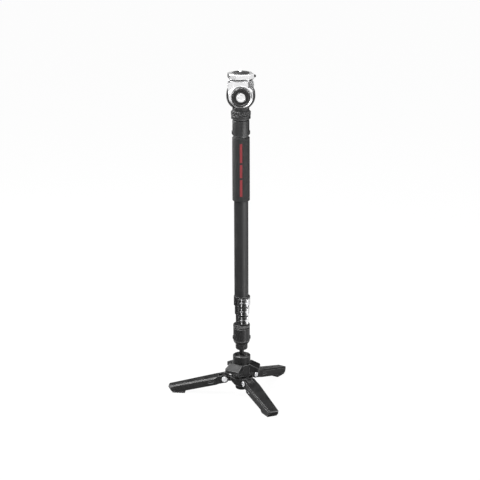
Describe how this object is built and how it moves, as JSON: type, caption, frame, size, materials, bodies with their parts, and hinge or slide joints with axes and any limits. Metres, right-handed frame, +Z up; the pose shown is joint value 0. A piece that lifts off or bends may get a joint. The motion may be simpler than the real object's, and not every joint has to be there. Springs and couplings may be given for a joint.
{
  "type": "camera monopod",
  "caption": "Telescopic camera monopod with folding feet, pedal-locked ball base, flip-lock tube sections, foam grip and a tilt head with quick-release camera plate.",
  "frame": {"origin": "on the floor under the pole axis, between the three feet", "axes": "+Z up along the pole, -Y to the front where the tilt knob faces, +X to the right where the flip levers are"},
  "size_m": [0.2582, 0.2828, 0.7075],
  "materials": {
    "black_anodised": "satin black anodised",
    "black_cast": "black powder coat over cast alloy",
    "tube_black": "satin black anodised tube",
    "silver": "bead-blasted satin silver",
    "steel": "bright machined",
    "black_plastic": "fine matte",
    "natural_plastic": "plain acetal",
    "rubber": "matte",
    "grip_rubber": "fine-grained foam rubber"
  },
  "bodies": {
    "base": {"base_hub": "black_cast", "hub_cap": "black_cast", "hub_screw": "steel", "ball_housing": "black_cast", "leg_bolts": "steel", "lock_springs": "steel"},
    "leg_left": {"leg_left": "black_cast", "foot_left": "rubber"},
    "leg_right": {"leg_right": "black_cast", "foot_right": "rubber"},
    "leg_front": {"leg_front": "black_cast", "foot_front": "rubber"},
    "pedals": {"pedal_ring": "black_cast"},
    "seat": {"ball_seat": "natural_plastic"},
    "ball": {"ball_stud": "black_anodised", "bearing_bowl": "black_anodised", "bearing_keeper": "steel"},
    "section_4": {"lower_collar": "black_anodised", "tube_ferrule": "black_anodised", "tube_4": "tube_black", "guide_bush_3": "natural_plastic"},
    "lower_button_left": {"lower_button_left": "black_plastic"},
    "lower_button_right": {"lower_button_right": "black_plastic"},
    "section_3": {"tube_3": "tube_black", "clamp_3": "black_cast", "clamp_3_bolt": "steel", "guide_bush_2": "natural_plastic"},
    "lever_3": {"lever_3": "silver"},
    "section_2": {"tube_2": "tube_black", "clamp_2": "black_cast", "clamp_2_bolt": "steel", "guide_bush_1": "natural_plastic"},
    "lever_2": {"lever_2": "silver"},
    "section_1": {"tube_1": "tube_black", "clamp_1": "black_cast", "clamp_1_bolt": "steel", "grip": "grip_rubber", "upper_collar": "black_anodised", "pan_base": "black_anodised"},
    "lever_1": {"lever_1": "silver"},
    "upper_button_left": {"upper_button_left": "black_plastic"},
    "upper_button_right": {"upper_button_right": "black_plastic"},
    "pan_lock": {"pan_lock_ring": "black_anodised"},
    "head": {"tilt_drum": "black_anodised", "friction_discs": "natural_plastic", "pan_screw": "steel"},
    "tilt": {"tilt_yoke": "silver", "tilt_axle": "steel", "qr_clamp": "silver", "qr_clamp_screws": "steel", "camera_plate": "black_anodised", "plate_pad": "rubber"},
    "knob": {"tilt_knob": "black_plastic", "knob_cap": "silver"},
    "qr_button": {"qr_button": "black_plastic"},
    "camera_screw": {"camera_screw": "steel"}
  },
  "joints": [
    {"name": "leg_left_fold", "type": "hinge", "parent": "base", "child": "leg_left", "pos_m": [-0.03586, 0.00314, 0.035], "axis": [0.0872, 0.9962, 0], "range_deg": [0, 102.6]},
    {"name": "leg_right_fold", "type": "hinge", "parent": "base", "child": "leg_right", "pos_m": [0.02065, 0.02949, 0.035], "axis": [0.8192, -0.5736, 0], "range_deg": [0, 102.6]},
    {"name": "leg_front_fold", "type": "hinge", "parent": "base", "child": "leg_front", "pos_m": [0.01521, -0.03263, 0.035], "axis": [-0.9063, -0.4226, 0], "range_deg": [0, 102.6]},
    {"name": "pedal_press", "type": "slide", "parent": "base", "child": "pedals", "axis": [0, 0, -1], "range_m": [0, 0.004], "stiffness_N_per_m": 3000, "springref_m": -0.002},
    {"name": "base_pan", "type": "hinge", "parent": "base", "child": "seat", "pos_m": [0, 0, 0.0645], "axis": [0, 0, 1], "continuous": true},
    {"name": "pole_tilt", "type": "hinge", "parent": "seat", "child": "ball", "pos_m": [0, 0, 0.0745], "axis": [1, 0, 0], "range_deg": [-20, 0]},
    {"name": "pole_spin", "type": "hinge", "parent": "ball", "child": "section_4", "pos_m": [0, 0, 0.1146], "axis": [0, 0, 1], "continuous": true},
    {"name": "section_3_slide", "type": "slide", "parent": "section_4", "child": "section_3", "axis": [0, 0, 1], "range_m": [0, 0.31]},
    {"name": "section_2_slide", "type": "slide", "parent": "section_3", "child": "section_2", "axis": [0, 0, 1], "range_m": [0, 0.31]},
    {"name": "section_1_slide", "type": "slide", "parent": "section_2", "child": "section_1", "axis": [0, 0, 1], "range_m": [0, 0.31]},
    {"name": "lever_1_flip", "type": "hinge", "parent": "section_1", "child": "lever_1", "pos_m": [0.0109, -0.0173, 0.2099], "axis": [0, 0, 1], "range_deg": [-110, 0]},
    {"name": "lever_2_flip", "type": "hinge", "parent": "section_2", "child": "lever_2", "pos_m": [0.0109, -0.0153, 0.1899], "axis": [0, 0, 1], "range_deg": [-110, 0]},
    {"name": "lever_3_flip", "type": "hinge", "parent": "section_3", "child": "lever_3", "pos_m": [0.0109, -0.0133, 0.1699], "axis": [0, 0, 1], "range_deg": [-110, 0]},
    {"name": "lower_button_left_press", "type": "slide", "parent": "section_4", "child": "lower_button_left", "axis": [1, 0, 0], "range_m": [0, 0.0012], "stiffness_N_per_m": 1000, "springref_m": -0.001},
    {"name": "lower_button_right_press", "type": "slide", "parent": "section_4", "child": "lower_button_right", "axis": [-1, 0, 0], "range_m": [0, 0.0012], "stiffness_N_per_m": 1000, "springref_m": -0.001},
    {"name": "upper_button_left_press", "type": "slide", "parent": "section_1", "child": "upper_button_left", "axis": [1, 0, 0], "range_m": [0, 0.0012], "stiffness_N_per_m": 1000, "springref_m": -0.001},
    {"name": "upper_button_right_press", "type": "slide", "parent": "section_1", "child": "upper_button_right", "axis": [-1, 0, 0], "range_m": [0, 0.0012], "stiffness_N_per_m": 1000, "springref_m": -0.001},
    {"name": "head_pan", "type": "hinge", "parent": "section_1", "child": "head", "pos_m": [0, 0, 0.6125], "axis": [0, 0, 1], "continuous": true},
    {"name": "pan_lock_turn", "type": "hinge", "parent": "head", "child": "pan_lock", "pos_m": [0, 0, 0.6175], "axis": [0, 0, 1], "range_deg": [0, 60]},
    {"name": "head_tilt", "type": "hinge", "parent": "head", "child": "tilt", "pos_m": [0, 0, 0.6545], "axis": [0, 1, 0], "range_deg": [-90, 90]},
    {"name": "tilt_knob_turn", "type": "hinge", "parent": "tilt", "child": "knob", "pos_m": [0, -0.028, 0.6545], "axis": [0, -1, 0], "range_deg": [0, 270]},
    {"name": "qr_button_press", "type": "slide", "parent": "tilt", "child": "qr_button", "axis": [-0.9848, -0.1736, 0], "range_m": [0, 0.0025], "stiffness_N_per_m": 1500, "springref_m": -0.001},
    {"name": "camera_screw_turn", "type": "hinge", "parent": "tilt", "child": "camera_screw", "pos_m": [0, 0, 0.7019], "axis": [0, 0, 1], "continuous": true}
  ]
}
